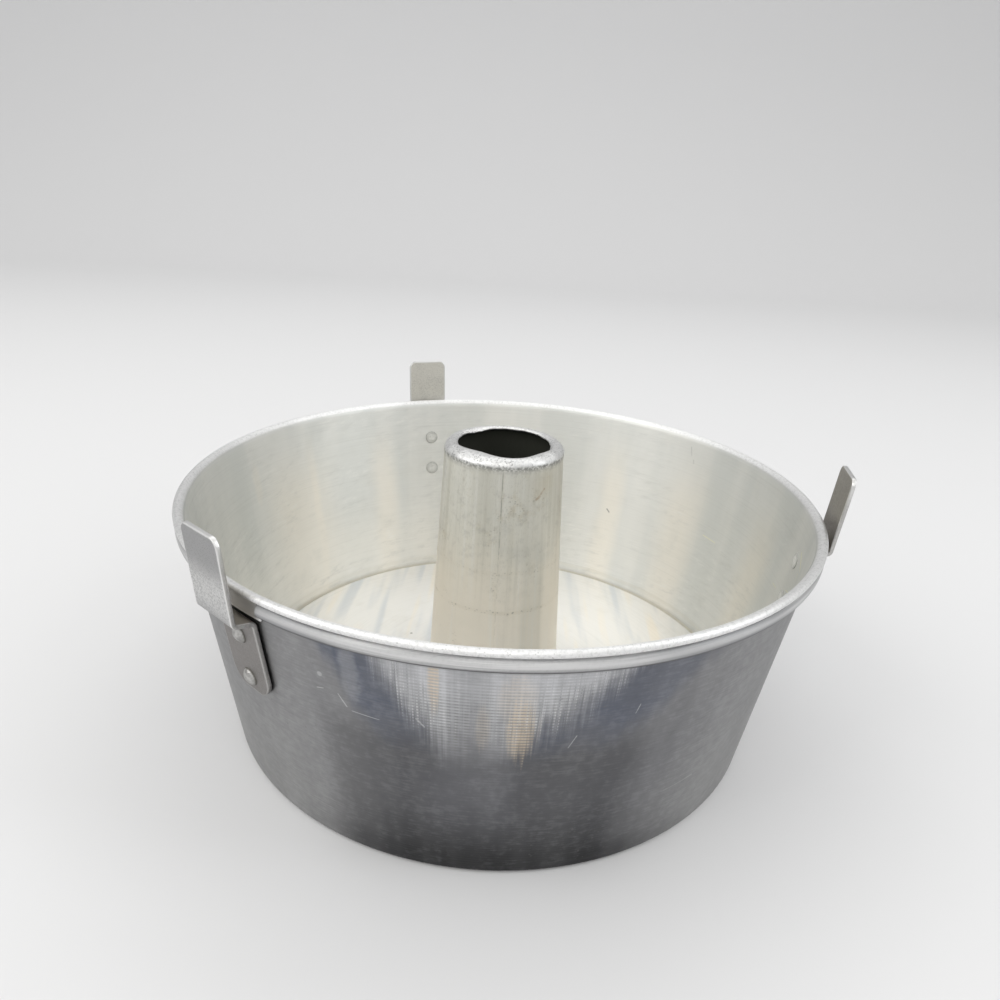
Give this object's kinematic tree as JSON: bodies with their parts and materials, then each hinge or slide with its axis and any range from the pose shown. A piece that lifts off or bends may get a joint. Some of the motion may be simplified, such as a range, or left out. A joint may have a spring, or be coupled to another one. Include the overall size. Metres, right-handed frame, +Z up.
{
  "type": "angel food cake pan",
  "caption": "Angel food cake pan: tapered ring with rolled rim, loose base disc with a tapered centre tube, and riveted cooling feet that stand above the rim.",
  "frame": {"origin": "centre of the ring that the pan stands on, in the plane of the table", "axes": "+Z up along the axis of the tube, +X to the right and +Y to the back as the pan is seen in the picture; the feet stand at 110, 230 and 350 degrees from +X"},
  "size_m": [0.2682, 0.2635, 0.1214],
  "materials": {
    "pan_aluminium": "bare spun aluminium, worn, with fine turning lines",
    "disc_aluminium": "bare aluminium, brighter from use, faint turning lines",
    "tube_aluminium": "bare aluminium, slightly yellowed, lengthwise seam",
    "foot_aluminium": "dull rolled aluminium strip with burnished edges",
    "rivet_aluminium": "worn bright aluminium"
  },
  "bodies": {
    "ring": {"pan_shell": "pan_aluminium", "foot_rear": "foot_aluminium", "foot_left": "foot_aluminium", "foot_right": "foot_aluminium", "rivet_rear_high": "rivet_aluminium", "rivet_rear_low": "rivet_aluminium", "rivet_left_high": "rivet_aluminium", "rivet_left_low": "rivet_aluminium", "rivet_right_high": "rivet_aluminium", "rivet_right_low": "rivet_aluminium"},
    "insert": {"base_disc": "disc_aluminium", "center_tube": "tube_aluminium"}
  },
  "joints": [
    {"name": "insert_lift", "type": "slide", "parent": "ring", "child": "insert", "axis": [0, 0, 1], "range_m": [0, 0.125]}
  ]
}
